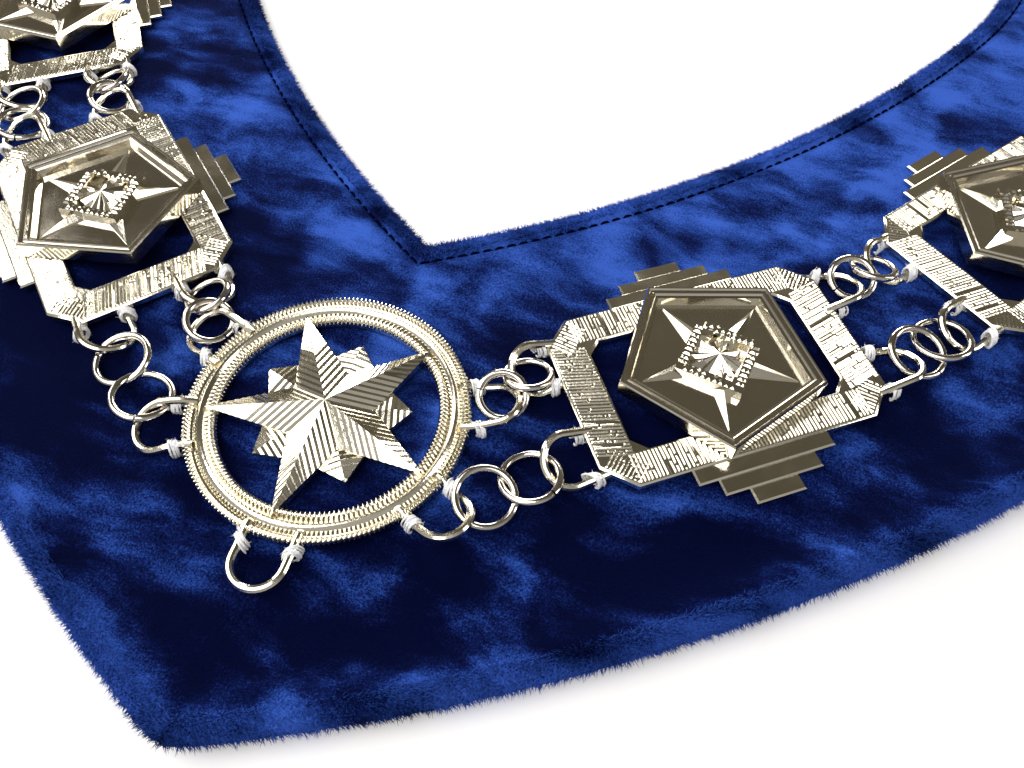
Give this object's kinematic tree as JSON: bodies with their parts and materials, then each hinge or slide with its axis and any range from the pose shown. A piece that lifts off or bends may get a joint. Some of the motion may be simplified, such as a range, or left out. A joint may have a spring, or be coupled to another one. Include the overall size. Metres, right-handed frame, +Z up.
{
  "type": "chain collar",
  "caption": "Velvet ceremonial collar lying flat, with a sewn-on silver chain of octagonal plaques, paired link rings and a pierced star medallion at its point.",
  "frame": {"origin": "on the table under the middle of the collar's outline", "axes": "+Y from the collar's point to its nape, +X to the wearer's left as seen from above, +Z up off the table"},
  "size_m": [0.4142, 0.4752, 0.0102],
  "materials": {
    "velvet": "crushed royal blue velvet pile over a stiff core",
    "silver_plate": "bright nickel plate with cut hatching and knurling",
    "bright_plate": "polished nickel plate, dark in the recesses",
    "ring_wire": "polished nickel-plated round wire"
  },
  "bodies": {
    "root": {"velvet_collar": "velvet", "star_medallion": "silver_plate", "plaque_nape": "silver_plate", "plaque_right_1": "silver_plate", "plaque_right_2": "silver_plate", "plaque_right_3": "silver_plate", "plaque_right_4": "silver_plate", "plaque_right_5": "silver_plate", "plaque_right_6": "silver_plate", "plaque_left_1": "silver_plate", "plaque_left_2": "silver_plate", "plaque_left_3": "silver_plate", "plaque_left_4": "silver_plate", "plaque_left_5": "silver_plate", "plaque_left_6": "silver_plate", "emblem_nape": "bright_plate", "emblem_right_1": "bright_plate", "emblem_right_2": "bright_plate", "emblem_right_3": "bright_plate", "emblem_right_4": "bright_plate", "emblem_right_5": "bright_plate", "emblem_right_6": "bright_plate", "emblem_left_1": "bright_plate", "emblem_left_2": "bright_plate", "emblem_left_3": "bright_plate", "emblem_left_4": "bright_plate", "emblem_left_5": "bright_plate", "emblem_left_6": "bright_plate", "links_right_1_inner": "ring_wire", "links_right_1_outer": "ring_wire", "links_right_2_inner": "ring_wire", "links_right_2_outer": "ring_wire", "links_right_3_inner": "ring_wire", "links_right_3_outer": "ring_wire", "links_right_4_inner": "ring_wire", "links_right_4_outer": "ring_wire", "links_right_5_inner": "ring_wire", "links_right_5_outer": "ring_wire", "links_right_6_inner": "ring_wire", "links_right_6_outer": "ring_wire", "links_right_nape_inner": "ring_wire", "links_right_nape_outer": "ring_wire", "links_left_1_inner": "ring_wire", "links_left_1_outer": "ring_wire", "links_left_2_inner": "ring_wire", "links_left_2_outer": "ring_wire", "links_left_3_inner": "ring_wire", "links_left_3_outer": "ring_wire", "links_left_4_inner": "ring_wire", "links_left_4_outer": "ring_wire", "links_left_5_inner": "ring_wire", "links_left_5_outer": "ring_wire", "links_left_6_inner": "ring_wire", "links_left_6_outer": "ring_wire", "links_left_nape_inner": "ring_wire", "links_left_nape_outer": "ring_wire"}
  },
  "joints": []
}
